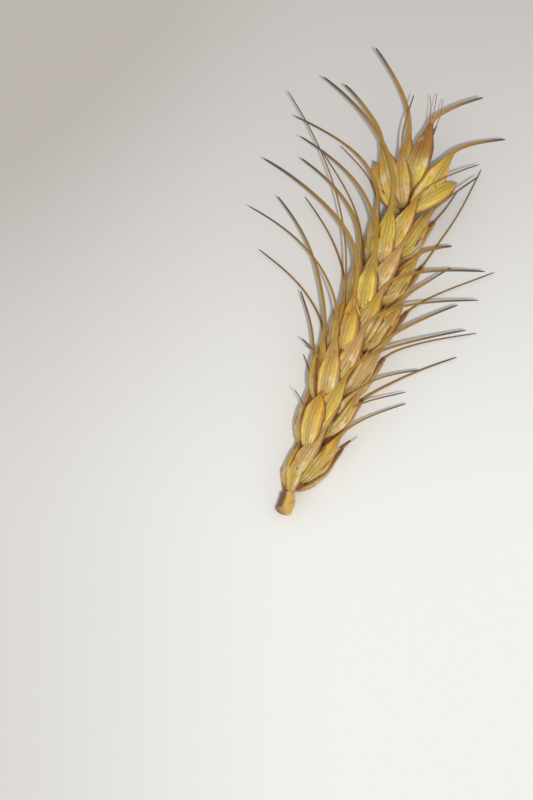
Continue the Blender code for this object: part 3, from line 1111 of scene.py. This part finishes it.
def huskMaterial():
    look = huskLook
    material, tree, shader = newMaterial("huskStraw")
    around, along, onAwn, tint = notedPlace(tree)
    nerve, fibre = grainNode(tree, around, along, tint, look["nerves"])
    pale, stain, speck = ageingNode(tree, look["patchSize"])
    creaseShadeAmount = noted(tree, "huskCreaseShade").outputs["Fac"]

    def both(first, second):
        return maths(tree, "MULTIPLY", first, second)

    def span(value, name, most=1.0):
        return spread(tree, value, look[name], most)

    everywhere, inPatches = look["bleachShare"]
    bleach = spread(tree, pale, (0.0, 1.0), inPatches, everywhere)
    belly = both(span(along, "bellyFrom"), span(along, "bellyTo"))
    aged = both(span(tint, "oldFrom"), span(along, "oldAlong"))
    # the ramp starts from painted shade at the foot of each scale
    colour = ramp(tree, along, look, look["bodyStops"])
    # each colour covers the ones above it in this list
    for amount, paint in (
        (span(tint, "greenFrom", look["tintShare"]), "green"),
        (span(tint, "rosyFrom", look["tintShare"]), "rosy"),
        (both(stain, look["rosyShare"]), "rosy"),
        (both(bleach, belly), "bleached"),
        (span(fibre, "streakFrom", look["streakShare"]), "nerve"),
        (both(nerve, look["nerveShare"]), "nerve"),
        (span(around, "keelShadeFrom", look["keelShadeShare"]), "nerve"),  # painted shade: a dark line on each side of the keel
        # painted highlight along the keel
        (span(around, "keelHighlightFrom", look["keelHighlightShare"]), "keel"),
        (both(aged, look["oldShare"]), "old"),
        # painted shade on the edges of each scale
        (span(around, "edgeShadeFrom", look["edgeShadeShare"]), "edge"),
        # painted shade on the inner side of a shell
        (span(around, "hollowShadeFrom"), "hollowShade"),
        # painted crease shade where other scales close in
        (span(creaseShadeAmount, "creaseShadeFrom", look["creaseShadeShare"]), "creaseShade"),
        (both(speck, look["speckShare"]), "speck"),
    ):
        colour = mixed(tree, amount, colour, look[paint])
    awnColour = ramp(tree, onAwn, look, look["awnStops"])
    # painted shade down the sides of each awn
    awnSideShade = span(around, "awnSideShadeFrom", look["awnSideShadeShare"])
    awnColour = mixed(tree, awnSideShade, awnColour, look["nerve"])
    colour = mixed(tree, span(onAwn, "awnFrom"), colour, awnColour)
    feed(tree, shader.inputs["Base Color"], colour)
    feed(tree, shader.inputs["Coat Weight"], look["coat"])
    feed(tree, shader.inputs["Coat Roughness"], look["coatRoughness"])
    giveGrain(tree, shader, look, fibre, nerve)
    return material


# the stalk, a plain ribbed straw
stalkLook = {
    "straw": (0.68, 0.42, 0.07, 1),
    "pale": (0.80, 0.58, 0.20, 1),
    "brown": (0.33, 0.13, 0.05, 1),
    # painted shade on the left side of the stub
    "leftShade": (0.20, 0.085, 0.045, 1),
    "speck": (0.10, 0.045, 0.02, 1),
    "paleShare": 0.6,
    "ribShare": 0.4,
    "fibreShare": 0.3,
    "stainShare": 0.35,
    "speckShare": 0.6,
    "roughness": (0.42, 0.62),
    "ribs": 12.0,
    "patchSize": 420.0,
    "bump": 0.3,
    "bumpDepth": 0.00005,
}


def stalkMaterial():
    look = stalkLook
    material, tree, shader = newMaterial("stalkStraw")
    around, along, leftShade, tint = notedPlace(tree)
    nerve, fibre = grainNode(tree, around, along, tint, look["ribs"])
    pale, stain, speck = ageingNode(tree, look["patchSize"])
    colour = look["straw"]
    for amount, paint in (
        (maths(tree, "MULTIPLY", pale, look["paleShare"]), "pale"),
        (maths(tree, "MULTIPLY", nerve, look["ribShare"]), "pale"),
        (maths(tree, "MULTIPLY", fibre, look["fibreShare"]), "brown"),
        (maths(tree, "MULTIPLY", stain, look["stainShare"]), "brown"),
        # painted shade on the left side of the stub
        (leftShade, "leftShade"),
        (maths(tree, "MULTIPLY", speck, look["speckShare"]), "speck"),
    ):
        colour = mixed(tree, amount, colour, look[paint])
    feed(tree, shader.inputs["Base Color"], colour)
    giveGrain(tree, shader, look, fibre, nerve)
    return material


strawGrainGroup()
ageingGroup()
husk = huskMaterial()
straw = stalkMaterial()
print("materials mixed")

grown = [sideSpikelet(index) for index in range(len(spikelets))] + [terminalSpikelet()]
print("spikelets set along the axis")

noteCreaseShade([piece for piece, node in grown])
for piece, node in grown:
    piece.data.materials.clear()
    piece.data.materials.append(husk)
    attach(piece, "root")
    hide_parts(node)
print("creases darkened")

stem = modelStalk()
stem.data.materials.clear()
stem.data.materials.append(straw)
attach(stem, "root")
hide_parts("stalk_and_rachis")
print("stalk drawn out")

for pattern in patterns.values():
    bpy.data.objects.remove(pattern)

# the pale surface, the light and the camera
room = {
    "floorSize": 6.0,
    "floorColour": (0.88, 0.875, 0.845, 1),
    "floorFar": (0.50, 0.46, 0.43, 1),  # where the light falls off, beyond the tip of the ear
    "floorRoughness": 0.85,
    # from where to where the floor fades and how much, beyond the ear and to its left
    "fadeAway": (-0.06, 0.095, 0.9),
    "fadeLeft": (0.0, 0.09, 0.5),
    "sky": (1.0, 1.0, 1.0, 1),
    "skyStrength": 0.56,
    "sunPlace": (0.1, -0.1, 0.5),
    "sunStrength": 1.7,
    "sunAngle": 2.5,
    "sunTilt": (29.6, 17.0),  # from behind the camera and a little to its right
    "elevation": 60.0,
    "turn": 18.6,
    "distance": 3.0,
    "clipStart": 0.01,
    "pictureHeight": 0.16,  # metres of the ear's plane that the picture's height takes in
    "aim": (-11.13, 17.70, 4.2),
}
turn = math.radians(room["turn"])


def floorMaterial():
    material, tree, shader = newMaterial("paleFloor")
    place = newNode(tree, "ShaderNodeTexCoord").outputs["Object"]
    fades = []
    for heading, (near, far, share) in (
        ((-math.sin(turn), math.cos(turn), 0), room["fadeAway"]),
        ((-math.cos(turn), -math.sin(turn), 0), room["fadeLeft"]),
    ):
        measure = newNode(tree, "ShaderNodeVectorMath", operation="DOT_PRODUCT")
        feed(tree, measure.inputs[0], place)
        feed(tree, measure.inputs[1], heading)
        fades.append(spread(tree, measure.outputs["Value"], (near, far), share))
    fade = maths(tree, "MINIMUM", maths(tree, "ADD", *fades), 1.0)
    colour = mixed(tree, fade, room["floorColour"], room["floorFar"])
    feed(tree, shader.inputs["Base Color"], colour)
    feed(tree, shader.inputs["Roughness"], room["floorRoughness"])
    return material


letGo()
bpy.ops.mesh.primitive_plane_add(size=room["floorSize"], location=(0, 0, 0))
floor = bpy.context.object
floor.name = "floor"
floor.data.materials.append(floorMaterial())

world = bpy.data.worlds.new("studio")
world.use_nodes = True
world.node_tree.nodes["Background"].inputs["Color"].default_value = room["sky"]
world.node_tree.nodes["Background"].inputs["Strength"].default_value = room["skyStrength"]
bpy.context.scene.world = world

bpy.ops.object.light_add(type="SUN", location=room["sunPlace"])
sun = bpy.context.object
sun.data.energy = room["sunStrength"]
sun.data.angle = math.radians(room["sunAngle"])
sun.rotation_euler = (math.radians(room["sunTilt"][0]), math.radians(room["sunTilt"][1]), 0)

elevation = math.radians(room["elevation"])
back = Vector((
    math.sin(turn) * math.cos(elevation),
    -math.cos(turn) * math.cos(elevation),
    math.sin(elevation),
))
aim = Vector(room["aim"]) * mm + earShift
bpy.ops.object.camera_add(location=aim + back * room["distance"])
camera = bpy.context.object
camera.rotation_mode = "QUATERNION"
camera.rotation_quaternion = (-back).to_track_quat("-Z", "Y")
camera.data.lens = camera.data.sensor_width * room["distance"] / room["pictureHeight"]
camera.data.clip_start = room["clipStart"]
bpy.context.scene.camera = camera
bpy.context.scene.view_settings.view_transform = "Standard"
print("light and camera set")
